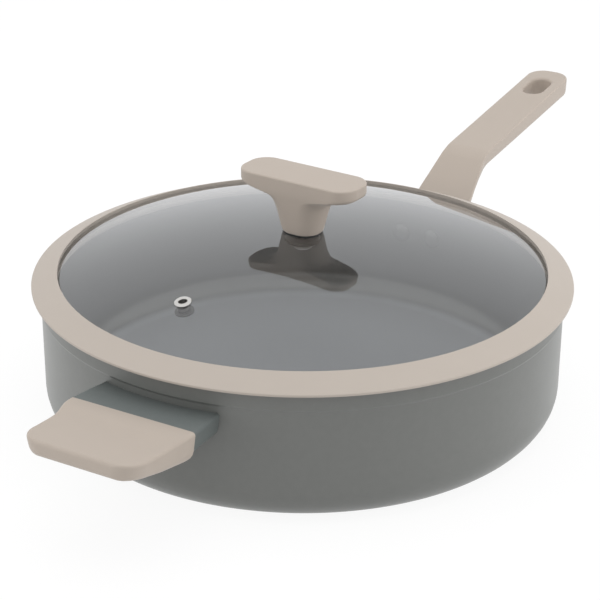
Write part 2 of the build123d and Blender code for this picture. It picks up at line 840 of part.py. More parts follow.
# Knob: oval stem that widens into a flat bar, with a socket for its insert
knob_plane = Plane(
    origin=(0, 0, 0),
    x_dir=(math.cos(math.radians(knob_turn)), math.sin(math.radians(knob_turn)), 0),
    z_dir=(0, 0, 1),
)
bar_bottom = knob_top - knob_thickness
knob_stem_corner = knob_stem_width / 2 - knob_stem_flat
knob_widening = knob_width - knob_stem_width
knob_lengthening = knob_length - 2 * knob_spread_inset - knob_stem_length
with BuildPart() as knob:
    with BuildSketch(knob_plane.offset(bar_bottom)) as knob_plan:
        with BuildLine():
            near_end = ThreePointArc(
                (-knob_width / 2, knob_bow - knob_length / 2),
                (0, -knob_length / 2),
                (knob_width / 2, knob_bow - knob_length / 2),
            )
            far_end = ThreePointArc(
                (-knob_width / 2, knob_length / 2 - knob_bow),
                (0, knob_length / 2),
                (knob_width / 2, knob_length / 2 - knob_bow),
            )
            Line(near_end @ 0, far_end @ 0)
            Line(near_end @ 1, far_end @ 1)
        make_face()
        fillet(knob_plan.vertices(), knob_corner)
    extrude(amount=knob_thickness)
    fillet(knob.faces().sort_by(Axis.Z)[-1].edges(), knob_top_round)
    for height_share, width_share, length_share in knob_stem_shares:
        with BuildSketch(knob_plane.offset(knob_base + height_share * (bar_bottom - knob_base))):
            RectangleRounded(
                knob_stem_width + width_share * knob_widening,
                knob_stem_length + length_share * knob_lengthening,
                knob_stem_corner,
            )
    loft()
    with BuildSketch(Plane.XY.offset(knob_base)):
        Circle(insert_flange_radius)
    extrude(amount=insert_flange_height, mode=Mode.SUBTRACT)
    with BuildSketch(Plane.XY.offset(knob_base)):
        Circle(insert_radius)
    extrude(amount=insert_length, mode=Mode.SUBTRACT)
knob.part.label = "knob"
export_step(knob.part, "parts/knob.step")

# Brass insert moulded into the stem, with its flange at the foot
with BuildPart() as knob_insert:
    with BuildSketch(Plane.XY.offset(knob_base)):
        Circle(insert_flange_radius)
    extrude(amount=insert_flange_height)
    with BuildSketch(Plane.XY.offset(knob_base)):
        Circle(insert_radius)
    extrude(amount=insert_length)
    with BuildSketch(Plane.XY.offset(knob_base)):
        Circle(thread_radius)
    extrude(amount=insert_length - insert_flange_height, mode=Mode.SUBTRACT)
knob_insert.part.label = "knob_insert"
export_step(knob_insert.part, "parts/knob_insert.step")

# Gasket between the glass and the foot of the knob
with BuildPart() as knob_gasket:
    with BuildSketch(knob_plane.offset(glass_below(0))):
        RectangleRounded(
            knob_stem_width - 2 * gasket_inset,
            knob_stem_length - 2 * gasket_inset,
            knob_stem_corner - gasket_inset,
        )
        Circle(thread_radius + shank_clearance, mode=Mode.SUBTRACT)
    extrude(amount=knob_base - glass_below(0))
    add(lid_glass.part, mode=Mode.SUBTRACT)
knob_gasket.part.label = "knob_gasket"
export_step(knob_gasket.part, "parts/knob_gasket.step")

# Gasket, steel washer and screw below the glass that draw the knob down
gasket_bottom = glass_below(gasket_radius) - gasket_thickness
with BuildPart() as glass_gasket:
    with BuildSketch(Plane.XY.offset(gasket_bottom)):
        Circle(gasket_radius)
        Circle(thread_radius + shank_clearance, mode=Mode.SUBTRACT)
    extrude(amount=gasket_thickness)
glass_gasket.part.label = "glass_gasket"
export_step(glass_gasket.part, "parts/glass_gasket.step")

with BuildPart() as knob_washer:
    with BuildSketch(Plane.XY.offset(gasket_bottom)):
        Circle(washer_radius)
        Circle(thread_radius + shank_clearance, mode=Mode.SUBTRACT)
    extrude(amount=-washer_thickness)
knob_washer.part.label = "knob_washer"
export_step(knob_washer.part, "parts/knob_washer.step")

screw_seat = gasket_bottom - washer_thickness
with BuildPart() as knob_screw:
    with BuildSketch(Plane.XY.offset(screw_seat)):
        Circle(knob_screw_head_radius)
    extrude(amount=-knob_screw_head_height)
    fillet(knob_screw.edges().group_by(Axis.Z)[0], knob_screw_head_height / 2)
    with BuildSketch(Plane.XY.offset(screw_seat)):
        Circle(thread_radius)
    extrude(amount=knob_screw_length)
    with BuildSketch(Plane.XY.offset(screw_seat - knob_screw_head_height)):
        RegularPolygon(drive_radius, 6)
    extrude(amount=drive_depth, mode=Mode.SUBTRACT)
knob_screw.part.label = "knob_screw"
export_step(knob_screw.part, "parts/knob_screw.step")
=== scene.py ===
import bpy
import bmesh
import json
import math
from mathutils import Matrix, Vector


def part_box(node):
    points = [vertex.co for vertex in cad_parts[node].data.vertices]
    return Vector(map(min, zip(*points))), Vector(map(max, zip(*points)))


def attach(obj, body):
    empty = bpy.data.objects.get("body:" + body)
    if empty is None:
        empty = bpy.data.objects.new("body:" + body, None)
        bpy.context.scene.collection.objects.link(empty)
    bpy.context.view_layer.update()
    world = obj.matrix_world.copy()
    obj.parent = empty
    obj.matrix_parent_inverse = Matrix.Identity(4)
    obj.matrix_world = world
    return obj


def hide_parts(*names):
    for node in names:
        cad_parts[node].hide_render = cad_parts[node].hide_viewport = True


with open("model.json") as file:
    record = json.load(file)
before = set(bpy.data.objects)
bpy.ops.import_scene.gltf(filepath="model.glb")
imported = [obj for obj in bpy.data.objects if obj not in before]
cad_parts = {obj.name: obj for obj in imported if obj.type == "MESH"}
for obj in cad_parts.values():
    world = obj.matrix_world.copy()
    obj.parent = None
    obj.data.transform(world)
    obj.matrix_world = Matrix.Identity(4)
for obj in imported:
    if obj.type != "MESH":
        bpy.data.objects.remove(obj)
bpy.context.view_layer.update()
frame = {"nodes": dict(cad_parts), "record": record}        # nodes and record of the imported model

# Saute pan with a domed glass lid, dressed over its imported model. Z is up, the long handle lies
# along +X and the helper handle along -X. The scene is in metres, the sizes and angles of the
# pieces are in millimetres and degrees, and mm turns millimetres into metres.
mm = 0.001
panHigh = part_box("pan_body")[1]
knobLow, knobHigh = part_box("knob")
print("frame loaded")


# Puts data into a new object of the scene
def newObject(name, data):
    made = bpy.data.objects.new(name, data)
    bpy.context.collection.objects.link(made)
    return made


def meshObject(name, bm):
    mesh = bpy.data.meshes.new(name)
    bm.to_mesh(mesh)
    bm.free()
    return newObject(name, mesh)


# Camera, at the photograph's viewing angle
cameraSet = {
    "spot": (-0.7788, -0.4496, 0.4639),
    "turn": -59.917,
    "level": 90.0,       # turns a camera from straight down to the horizon
    "tilt": -24.308,
    "roll": 0.29,
    "lens": 109.22,
    "sensor": 36.0,
}


def placeCamera():
    s = cameraSet
    camera = newObject("camera", bpy.data.cameras.new("camera"))
    camera.data.lens = s["lens"]
    camera.data.sensor_width = s["sensor"]
    camera.matrix_world = (
        Matrix.Translation(s["spot"])
        @ Matrix.Rotation(math.radians(s["turn"]), 4, "Z")
        @ Matrix.Rotation(math.radians(s["level"] + s["tilt"]), 4, "X")
        @ Matrix.Rotation(math.radians(s["roll"]), 4, "Z")
    )
    bpy.context.scene.camera = camera


placeCamera()
bpy.context.scene.view_settings.view_transform = "Standard"


# Node trees: a Signal is one socket, and sums and products of signals add their own Math nodes
class Signal:
    def __init__(self, tree, socket):
        self.tree = tree
        self.socket = socket

    def reckon(self, operation, first, second):
        return self.tree.node("ShaderNodeMath", {"operation": operation}, {0: first, 1: second})

    def __add__(self, other):
        return self.reckon("ADD", self, other)

    def __mul__(self, other):
        return self.reckon("MULTIPLY", self, other)

    def __sub__(self, other):
        return self.reckon("SUBTRACT", self, other)

    def __rsub__(self, other):
        return self.reckon("SUBTRACT", other, self)

    __radd__ = __add__
    __rmul__ = __mul__


class Tree:
    def __init__(self, owner):
        owner.use_nodes = True
        self.owner = owner
        self.nodes = owner.node_tree.nodes
        self.links = owner.node_tree.links
        self.nodes.clear()

    # Makes a node, sets it up, then fills its sockets with values or signals
    def node(self, kind, settings=None, sockets=None, output=0):
        made = self.nodes.new(kind)
        for name, value in (settings or {}).items():
            setattr(made, name, value)
        for name, value in (sockets or {}).items():
            if isinstance(value, Signal):
                self.links.new(value.socket, made.inputs[name])
            else:
                made.inputs[name].default_value = value
        return Signal(self, made.outputs[output]) if made.outputs else None

    def spots(self):
        return self.node("ShaderNodeTexCoord", output="Object")

    # How long a vector is
    def length(self, vector):
        return self.node("ShaderNodeVectorMath", {"operation": "LENGTH"}, {0: vector}, output="Value")

    # Distance from the pan's axis
    def reach(self):
        return self.length(
            self.node("ShaderNodeVectorMath", {"operation": "MULTIPLY"}, {0: self.spots(), 1: (1, 1, 0)})
        )

    # Height over the pan's underside
    def height(self):
        return self.node("ShaderNodeSeparateXYZ", sockets={0: self.spots()}, output="Z")

    def noise(self, size, detail, place=None):
        sockets = {"Vector": place or self.spots(), "Scale": 1 / size, "Detail": detail}
        return self.node("ShaderNodeTexNoise", sockets=sockets)

    def blend(self, share, first, second):
        first, second = (
            colour if isinstance(colour, Signal) else (*colour, 1) for colour in (first, second)
        )
        return self.node("ShaderNodeMix", {"data_type": "RGBA"}, {0: share, 6: first, 7: second}, output=2)

    def bump(self, height, depth, strength):
        return self.node(
            "ShaderNodeBump", sockets={"Height": height, "Distance": depth, "Strength": strength}
        )

    def finish(self, surface):
        self.node("ShaderNodeOutputMaterial", sockets={"Surface": surface})
        return self.owner


# A material of one Principled shader, whose varying sockets are given as functions of the tree
def principled(name, sockets):
    tree = Tree(bpy.data.materials.new(name))
    built = {key: value(tree) if callable(value) else value for key, value in sockets.items()}
    return tree.finish(tree.node("ShaderNodeBsdfPrincipled", sockets=built))


# Light: a white surround for the camera and for reflections, a level one for shading
lightSet = {
    "surround": 0.60,
    "white": 1.0,
    "overhead": 8.7,
    "overheadSize": 1.5,
    "overheadSpot": (0, 0, 1.5),
    "right": 7.5,
    "left": 4.5,
    "sideSize": 0.9,
    "rightSpot": (0.55, -1.35, 0.38),
    "leftSpot": (-1.05, 0.95, 0.32),
    "floorGrey": 0.78,
    "floorShade": 0.11,
    "floorWhite": 1.02,
    "floorSize": 12.0,
}


def seenDirectly(tree):
    camera, glossy, through = (
        tree.node("ShaderNodeLightPath", output="Is " + kind + " Ray")
        for kind in ("Camera", "Glossy", "Transmission")
    )
    either = camera + glossy
    return either.reckon("MAXIMUM", either, through)


def makeSurround():
    world = bpy.data.worlds.new("studio")
    bpy.context.scene.world = world
    tree = Tree(world)
    level, white = (
        tree.node("ShaderNodeBackground", sockets={"Color": (1, 1, 1, 1), "Strength": lightSet[strength]})
        for strength in ("surround", "white")
    )
    mixed = tree.node("ShaderNodeMixShader", sockets={0: seenDirectly(tree), 1: level, 2: white})
    tree.node("ShaderNodeOutputWorld", sockets={"Surface": mixed})


def makeLamp(name, spot, size, power):
    lamp = newObject(name, bpy.data.lights.new(name, "AREA"))
    lamp.data.size = size
    lamp.data.energy = power
    lamp.location = spot
    aim = Vector((0, 0, panHigh.z / 2)) - Vector(spot)
    lamp.rotation_euler = aim.to_track_quat("-Z", "Y").to_euler()
    lamp.visible_glossy = False
    lamp.visible_camera = False


# The floor takes light as a pale grey one, and looks white with a faint shadow
def makeFloor():
    s = lightSet
    bm = bmesh.new()
    bmesh.ops.create_grid(bm, x_segments=1, y_segments=1, size=s["floorSize"] / 2)
    floor = meshObject("floor", bm)
    tree = Tree(bpy.data.materials.new("paleFloor"))
    lit, faint = (
        tree.node("ShaderNodeBsdfDiffuse", sockets={"Color": (level, level, level, 1)})
        for level in (s["floorGrey"], s["floorShade"])
    )
    glow = tree.node(
        "ShaderNodeEmission",
        sockets={"Color": (1, 1, 1, 1), "Strength": s["floorWhite"] - s["floorShade"]},
    )
    seen = tree.node("ShaderNodeAddShader", sockets={0: faint, 1: glow})
    floor.data.materials.append(
        tree.finish(tree.node("ShaderNodeMixShader", sockets={0: seenDirectly(tree), 1: lit, 2: seen}))
    )


makeSurround()
makeLamp("overheadLamp", lightSet["overheadSpot"], lightSet["overheadSize"], lightSet["overhead"])
makeLamp("rightLamp", lightSet["rightSpot"], lightSet["sideSize"], lightSet["right"])
makeLamp("leftLamp", lightSet["leftSpot"], lightSet["sideSize"], lightSet["left"])
makeFloor()
print("studio ready")


# Stoneware coat: glossier inside the pan. Its colour holds painted light: the inside wall is darker, as painted
# shade under the lid, and the pan's floor is paler and bluish, as painted light and a painted reflection of the
# room above. The inside is told by the rounded corner between its wall and its floor. Lengths in a finish are in
# metres.
coatSet = {
    "outerPale": (0.173, 0.178, 0.169),
    "outerDeep": (0.155, 0.160, 0.152),
    # The inside shades are darker than the outer ones as painted shade; the floor shades are paler and bluish as
    # painted light and a painted reflection
    "insidePale": (0.118, 0.121, 0.119),
    "insideDeep": (0.104, 0.107, 0.105),
    "floorPale": (0.365, 0.374, 0.400),
    "floorDeep": (0.338, 0.347, 0.372),
    "cornerReach": 0.122,
    "cornerHeight": 0.01875,
    "cornerRound": 0.0165,
    "floorEdge": (0.0046, 0.0075),
    "grain": 0.004,
    "smear": 0.02,
    "detail": 3,
    "rough": 0.40,
    "roughSpread": 0.08,
    "insideGloss": 0.28,
    "pits": 0.0011,
    "pitDetail": 2,
    "pitDepth": 0.00003,
    "pitStrength": 0.5,
    "clear": 0.35,
    "clearInside": 0.65,
    "clearRough": 0.28,
}


def coatedGrey():
    s = coatSet

    def inside(t):
        outward = t.reach() - s["cornerReach"]
        downward = s["cornerHeight"] - t.height()
        corner = t.node("ShaderNodeCombineXYZ", sockets={
            0: outward.reckon("MAXIMUM", outward, 0.0), 1: downward.reckon("MAXIMUM", downward, 0.0),
        })
        apart = t.length(corner)
        return apart.reckon("LESS_THAN", apart, s["cornerRound"])

    # Share of the pan's floor, which takes the painted light and painted reflection
    def litFloorShare(t):
        low, high = s["floorEdge"]
        share = t.node(
            "ShaderNodeMapRange", {"interpolation_type": "SMOOTHSTEP"},
            {"Value": t.height(), "From Min": low, "From Max": high, "To Min": 1.0, "To Max": 0.0},
        )
        return share * inside(t)

    def colour(t):
        grain = t.noise(s["grain"], s["detail"])
        # Outer coat, inside wall in painted shade, and floor in painted light with a painted reflection
        outer, wall, floor = (
            t.blend(grain, s[name + "Deep"], s[name + "Pale"]) for name in ("outer", "inside", "floor")
        )
        return t.blend(litFloorShare(t), t.blend(inside(t), outer, wall), floor)

    return principled("stonewareCoat", {
        "Base Color": colour,
        "Roughness": lambda t: (
            t.noise(s["smear"], s["detail"]) * s["roughSpread"] + s["rough"] - inside(t) * s["insideGloss"]
        ),
        "Normal": lambda t: t.bump(t.noise(s["pits"], s["pitDetail"]), s["pitDepth"], s["pitStrength"]),
        "Coat Weight": lambda t: inside(t) * s["clearInside"] + s["clear"],
        "Coat Roughness": s["clearRough"],
    })


# Plain finishes: two blended shades, an uneven gloss, steady values of the shader's sockets and,
# where there is one, a fine grain
paintSet = {
    "deep": (0.140, 0.158, 0.156),
    "pale": (0.157, 0.176, 0.173),
    "cloud": (0.003, 3),
    "smear": (0.01, 3),
    "rough": (0.38, 0.08),
    "grain": (0.0009, 2),
    "relief": (0.00003, 0.5),
    "steady": {},
}
gripPlasticSet = {
    "deep": (0.485, 0.418, 0.360),
    "pale": (0.505, 0.436, 0.375),
    "cloud": (0.012, 4),
    "smear": (0.006, 3),
    "rough": (0.50, 0.10),
    "grain": (0.0007, 2),
    "relief": (0.00004, 0.45),
    "steady": {"Sheen Weight": 0.15, "Sheen Roughness": 0.4},
}
siliconeSet = {
    **gripPlasticSet,
    "deep": (0.500, 0.443, 0.391),
    "pale": (0.520, 0.462, 0.408),
    "rough": (0.55, 0.10),
    "grain": (0.0005, 2),
}
fixingSet = {
    "deep": (0.594, 0.585, 0.567),
    "pale": (0.66, 0.65, 0.63),
    "cloud": (0.002, 2),
    "smear": (0.001, 2),
    "rough": (0.28, 0.10),
    "steady": {"Metallic": 1.0},
}
ventSteelSet = {**fixingSet, "rough": (0.16, 0.10)}
brassSet = {
    **fixingSet,
    "deep": (0.63, 0.468, 0.225),
    "pale": (0.70, 0.52, 0.25),
    "rough": (0.30, 0.10),
}
sealSet = {
    **fixingSet,
    "deep": (0.045, 0.045, 0.0432),
    "pale": (0.05, 0.05, 0.048),
    "rough": (0.45, 0.10),
    "steady": {},
}


def plainFinish(name, s):
    least, spread = s["rough"]
    sockets = {
        "Base Color": lambda t: t.blend(t.noise(*s["cloud"]), s["deep"], s["pale"]),
        "Roughness": lambda t: t.noise(*s["smear"]) * spread + least,
        **s["steady"],
    }
    if "grain" in s:
        sockets["Normal"] = lambda t: t.bump(t.noise(*s["grain"]), *s["relief"])
    return principled(name, sockets)


# Turned steel, with fine rings about the pan's axis
turnedSet = {
    "deep": (0.52, 0.51, 0.50),
    "pale": (0.66, 0.65, 0.63),
    "rings": (0.0009, 2),
    "smear": (0.01, 2),
    "rough": (0.26, 0.10),
    "relief": (0.00003, 0.6),
}


def turnedSteel():
    s = turnedSet
    least, spread = s["rough"]

    def rings(t):
        return t.noise(*s["rings"], place=t.node("ShaderNodeCombineXYZ", sockets={0: t.reach()}))

    return principled("inductionSteel", {
        "Base Color": lambda t: t.blend(rings(t), s["deep"], s["pale"]),
        "Roughness": lambda t: t.noise(*s["smear"]) * spread + least,
        "Normal": lambda t: t.bump(rings(t), *s["relief"]),
        "Metallic": 1.0,
    })


# Clear glass: what is behind it shows through, and the face by which a ray enters mirrors the
# room for both faces, so that their two images lie on each other as thin glass shows them
clearSet = {
    "bending": 1.5,
    "tint": (0.93, 0.935, 0.93, 1),
    "mirror": (0.97, 0.98, 1.0, 1),
    "smear": (0.03, 3),
    "rough": (0.01, 0.01),
}


def clearGlass():
    s = clearSet
    tree = Tree(bpy.data.materials.new("clearGlass"))
    turned = tree.node("ShaderNodeNewGeometry", output="Backfacing")
    single = tree.node("ShaderNodeFresnel", sockets={"IOR": s["bending"]})
    passed = 1 - single
    mirror = (single + single * passed * passed) * (1 - turned)
    least, spread = s["rough"]
    tint = tree.node("ShaderNodeBsdfTransparent", sockets={"Color": s["tint"]})
    gloss = tree.node(
        "ShaderNodeBsdfGlossy",
        sockets={"Color": s["mirror"], "Roughness": tree.noise(*s["smear"]) * spread + least},
    )
    return tree.finish(tree.node("ShaderNodeMixShader", sockets={0: mirror, 1: tint, 2: gloss}))


finishes = {
    "coated_body": coatedGrey(),
    "induction_steel": turnedSteel(),
    "bracket_paint": plainFinish("bracketPaint", paintSet),
    "soft_grip": plainFinish("softGrip", gripPlasticSet),
    "fixing_steel": plainFinish("fixingSteel", fixingSet),
    "lid_glass": clearGlass(),
    "rim_silicone": plainFinish("rimSilicone", siliconeSet),
    "vent_steel": plainFinish("ventSteel", ventSteelSet),
    "dark_seal": plainFinish("darkSeal", sealSet),
    "insert_brass": plainFinish("insertBrass", brassSet),
}
finishes["coated_rivet"] = finishes["coated_body"]
print("finishes ready")


# Mesh helpers
meshSet = {"merge": 0.000001, "onPlane": 0.0000001, "sharp": 40}
sideways = Vector((0, 1, 0))
upright = Vector((0, 0, 1))


def roundCorner(bm, vertices, reach, segments):
    if reach > 0:
        bmesh.ops.bevel(
            bm, geom=list(vertices), offset=reach, offset_type="OFFSET", segments=segments,
            profile=0.5, affect="VERTICES", material=-1,
        )


def tidyMesh(bm):
    bmesh.ops.remove_doubles(bm, verts=bm.verts, dist=meshSet["merge"])
    bmesh.ops.recalc_face_normals(bm, faces=bm.faces)


# Spins a closed outline of (radius, height, rounding) corners about the Z axis
def turnedPiece(corners, steps, segments):
    bm = bmesh.new()
    placed = [bm.verts.new((radius * mm, 0, height * mm)) for radius, height, _ in corners]
    for first, second in zip(placed, placed[1:] + placed[:1]):
        bm.edges.new((first, second))
    for vertex, (_, _, rounding) in zip(placed, corners):
        roundCorner(bm, [vertex], rounding * mm, segments)
    spinAll(bm, steps)
    return bm


def spinAll(bm, steps):
    bmesh.ops.spin(
        bm, geom=bm.verts[:] + bm.edges[:], cent=(0, 0, 0), axis=(0, 0, 1),
        angle=2 * math.pi, steps=steps, use_merge=True,
    )
    tidyMesh(bm)


# Corners of a rectangle about the middle, the lower pair first
def rectangle(halfWidth, halfHeight):
    return [(side * halfWidth, end * halfHeight) for end in (-1, 1) for side in (-1, 1)]


# Adds a loop of four corners, whose lower and upper pairs are rounded, and gives its edges
def fourCornerRing(bm, corners, roundings, segments, place):
    known = set(bm.edges)
    old = set(bm.verts)
    made = bmesh.ops.create_grid(bm, x_segments=1, y_segments=1, size=1.0)["verts"]
    bySide = sorted(made, key=lambda vertex: (vertex.co.y, vertex.co.x))
    for vertex, (across, up) in zip(bySide, corners):
        vertex.co = Vector((across * mm, up * mm, 0))
    for vertices, rounding in zip((bySide[:2], bySide[2:]), roundings):
        roundCorner(bm, vertices, rounding * mm, segments)
    bmesh.ops.delete(bm, geom=[f for f in bm.faces if f.edges[0] not in known], context="FACES_ONLY")
    fresh = [vertex for vertex in bm.verts if vertex not in old]
    bmesh.ops.transform(bm, matrix=place, verts=fresh)
    return [edge for edge in bm.edges if edge not in known]


# Joins rings one to the next and closes both ends
def skinRings(bm, rings):
    for first, second in zip(rings, rings[1:]):
        bmesh.ops.bridge_loops(bm, edges=first + second)
    for end in (rings[0], rings[-1]):
        bmesh.ops.holes_fill(bm, edges=end)
    tidyMesh(bm)


# Values between the rows of a table, by its first column
def between(table, place):
    if place <= table[0][0]:
        return list(table[0][1:])
    for start, end in zip(table, table[1:]):
        if place <= end[0]:
            share = (place - start[0]) / (end[0] - start[0])
            return [a + share * (b - a) for a, b in zip(start[1:], end[1:])]
    return list(table[-1][1:])


# Shares of a rounding's radius along a quarter turn: what is left ahead, and what is drawn in
def quarterTurn(steps):
    angles = [math.pi / 2 * step / steps for step in range(steps + 1)]
    return [(1 - math.sin(angle), 1 - math.cos(angle)) for angle in angles]


# A turn that lays X, Y and Z along the given directions
def axesTurn(across, up, ahead):
    return Matrix((across, up, ahead)).transposed().to_4x4()


def smoothFaces(piece, sharp):
    for face in piece.data.polygons:
        face.use_smooth = True
    piece.data.set_sharp_from_angle(angle=math.radians(sharp))
    weighted = piece.modifiers.new("weightedNormals", "WEIGHTED_NORMAL")
    weighted.keep_sharp = True


def finishPiece(name, bm, slot, body, node, sharp=meshSet["sharp"]):
    piece = meshObject(name, bm)
    smoothFaces(piece, sharp)
    piece.data.materials.append(finishes[slot])
    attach(piece, body)
    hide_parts(node)
    return piece


# Takes a solid away from a piece, and leaves the result in the piece's own mesh
def cutAway(piece, name, bm):
    cutter = meshObject(name, bm)
    piece.modifiers.remove(piece.modifiers["weightedNormals"])
    cut = piece.modifiers.new(name, "BOOLEAN")
    cut.operation = "DIFFERENCE"
    cut.solver = "EXACT"
    cut.object = cutter
    graph = bpy.context.evaluated_depsgraph_get()
    shaped = bpy.data.meshes.new_from_object(piece.evaluated_get(graph))
    piece.modifiers.remove(cut)
    used = (piece.data, cutter.data)
    piece.data = shaped
    bpy.data.objects.remove(cutter)
    for mesh in used:
        bpy.data.meshes.remove(mesh)


# Pan body
bodySet = {
    "radius": 140.0,
    "wall": 3.0,
    "base": 4.5,
    "height": 73.0,
    "bottomRound": 18.0,
    "band": 10.3,
    "flare": 0.85,
    "flareRise": 1.35,
    "flareRound": 0.3,
    "rimRound": 0.6,
    "discRadius": 105.15,
    "discDepth": 1.2,
    "discRound": 0.2,
    "steps": 192,
    "segments": 10,
    "sharp": 50,
}


def makeBody():
    s = bodySet
    inner = s["radius"] - s["wall"]
    ledge = s["height"] - s["band"]
    bm = turnedPiece([
        (0, s["discDepth"], 0),
        (s["discRadius"], s["discDepth"], 0),
        (s["discRadius"], 0, s["discRound"]),
        (s["radius"], 0, s["bottomRound"]),
        (s["radius"], ledge, s["flareRound"]),
        (s["radius"] + s["flare"], ledge + s["flareRise"], s["flareRound"]),
        (s["radius"], s["height"], s["rimRound"]),
        (inner, s["height"], s["rimRound"]),
        (inner, s["base"], s["bottomRound"] - s["wall"]),
        (0, s["base"], 0),
    ], s["steps"], s["segments"])
    finishPiece("panShell", bm, "coated_body", "pan", "pan_body", s["sharp"])


makeBody()


# Induction disc with turned grooves
discSet = {
    "radius": 105.0,
    "thickness": 1.2,
    "edgeRound": 0.2,
    "rings": 3,
    "pitch": 26.0,
    "width": 2.4,
    "depth": 0.4,
    "grooveRound": 0.1,
    "steps": 160,
    "segments": 2,
}


def makeDisc():
    s = discSet
    corners = [(0, s["thickness"], 0), (0, 0, 0)]
    for ring in range(1, s["rings"] + 1):
        near, far = (ring * s["pitch"] + side * s["width"] / 2 for side in (-1, 1))
        for edge, height in ((near, 0), (near, s["depth"]), (far, s["depth"]), (far, 0)):
            corners.append((edge, height, s["grooveRound"]))
    corners += [(s["radius"], 0, s["edgeRound"]), (s["radius"], s["thickness"], 0)]
    bm = turnedPiece(corners, s["steps"], s["segments"])
    finishPiece("inductionDisc", bm, "induction_steel", "pan", "base_disc")


makeDisc()
print("pan ready")


# Lid glass: a dome of one sphere, with a hole at its crown
glassSet = {
    "crown": 98.5,
    "radius": 135.5,
    "rise": 22.0,
    "thickness": 4.0,
    "hole": 3.6,
    "rings": 40,
    "steps": 192,
}


def domeRadius():
    s = glassSet
    return (s["radius"] ** 2 + s["rise"] ** 2) / (2 * s["rise"])


def glassHeight(reach, drop=0.0):
    ball = domeRadius()
    return glassSet["crown"] - ball + math.sqrt((ball - drop) ** 2 - reach ** 2)


# Spins one vertex about the middle of the sphere, which draws an arc of the dome
def domeArc(bm, start, end, drop):
    ball = (domeRadius() - drop) * mm
    middle = Vector((0, 0, (glassSet["crown"] - domeRadius()) * mm))
    first = math.asin(start * mm / ball)
    last = math.asin(end * mm / ball)
    vertex = bm.verts.new(middle + Vector((math.sin(first), 0, math.cos(first))) * ball)
    drawn = bmesh.ops.spin(
        bm, geom=[vertex], cent=middle, axis=(0, 1, 0), angle=last - first, steps=glassSet["rings"],
    )
    ending = [item for item in drawn["geom_last"] if isinstance(item, bmesh.types.BMVert)]
    return vertex, ending[0]


def makeGlass():
    s = glassSet
    bm = bmesh.new()
    topStart, topEnd = domeArc(bm, s["hole"], s["radius"], 0)
    lowStart, lowEnd = domeArc(bm, s["radius"], s["hole"], s["thickness"])
    bm.edges.new((topEnd, lowStart))
    bm.edges.new((lowEnd, topStart))
    spinAll(bm, s["steps"])
    return finishPiece("glassDome", bm, "lid_glass", "lid", "lid_glass")


glassDome = makeGlass()


# Silicone rim: sloped lip, groove for the glass and a short skirt inside the pan's mouth
rimSet = {
    "lip": 144.85,
    "seat": 73.0,
    "lipHeight": 1.3,
    "inner": 130.9,
    "crest": 7.2,
    "edgeRound": 0.4,
    "edgeGap": 0.1,
    "faceGap": 0.05,
    "under": 131.6,
    "underDepth": 2.4,
    "underRound": 0.3,
    "skirt": 136.3,
    "skirtDepth": 4.0,
    "skirtWidth": 3.4,
    "skirtRound": 0.5,
    "steps": 192,
    "segments": 5,
}


def makeRim():
    s = rimSet
    thickness = glassSet["thickness"]
    groove = glassSet["radius"] + s["edgeGap"]
    underGlass = glassHeight(s["under"], thickness)
    bm = turnedPiece([
        (s["lip"], s["seat"], s["edgeRound"]),
        (s["lip"], s["seat"] + s["lipHeight"], s["edgeRound"]),
        (s["inner"], s["seat"] + s["crest"], s["edgeRound"]),
        (s["inner"], glassHeight(s["inner"]) + s["faceGap"], 0),
        (groove, glassHeight(groove) + s["faceGap"], 0),
        (groove, glassHeight(groove, thickness), 0),
        (s["under"], underGlass - s["faceGap"], s["underRound"]),
        (s["under"], underGlass - s["underDepth"], s["skirtRound"]),
        (s["skirt"] - s["skirtWidth"], s["seat"] - s["skirtDepth"], s["skirtRound"]),
        (s["skirt"], s["seat"] - s["skirtDepth"], s["skirtRound"]),
        (s["skirt"], s["seat"], 0),
    ], s["steps"], s["segments"])
    finishPiece("siliconeRim", bm, "rim_silicone", "lid", "lid_rim")


makeRim()


# Knob: oval stem that flows into a flat bar
knobSet = {
    "turn": -3.0,
    "topRound": 0.9,
    "topSteps": 4,
    "segments": 12,
    # height above the foot, half width, half length, corner
    "rows": (
        (0.0, 9.1, 10.6, 8.6),
        (0.5, 9.5, 11.0, 9.0),
        (2.2, 9.95, 11.6, 9.3),
        (6.0, 10.75, 12.5, 10.0),
        (11.0, 11.7, 13.7, 10.8),
        (15.4, 12.5, 14.9, 11.0),
        (18.0, 12.85, 16.4, 11.2),
        (19.8, 13.05, 18.6, 11.6),
        (21.0, 13.2, 21.6, 12.0),
        (22.0, 13.35, 26.0, 12.0),
        (22.9, 13.4, 30.6, 11.5),
        (23.7, 13.45, 33.6, 11.0),
        (24.7, 13.5, 35.0, 10.5),
        (25.9, 13.5, 35.5, 10.5),
    ),
}


def makeKnob():
    s = knobSet
    height = (knobHigh.z - knobLow.z) / mm
    rows = list(s["rows"])
    _, halfWidth, halfLength, corner = rows[-1]
    for ahead, inward in quarterTurn(s["topSteps"]):
        back = s["topRound"] * inward
        rows.append((height - s["topRound"] * ahead, halfWidth - back, halfLength - back, corner - back))
    turned = Matrix.Rotation(math.radians(s["turn"]), 4, "Z")
    bm = bmesh.new()
    rings = []
    for rise, halfWidth, halfLength, corner in rows:
        place = Matrix.Translation((0, 0, knobLow.z + rise * mm)) @ turned
        corners = rectangle(halfWidth, halfLength)
        rings.append(fourCornerRing(bm, corners, (corner, corner), s["segments"], place))
    skinRings(bm, rings)
    finishPiece("lidKnob", bm, "soft_grip", "lid", "knob")


makeKnob()
print("lid ready")


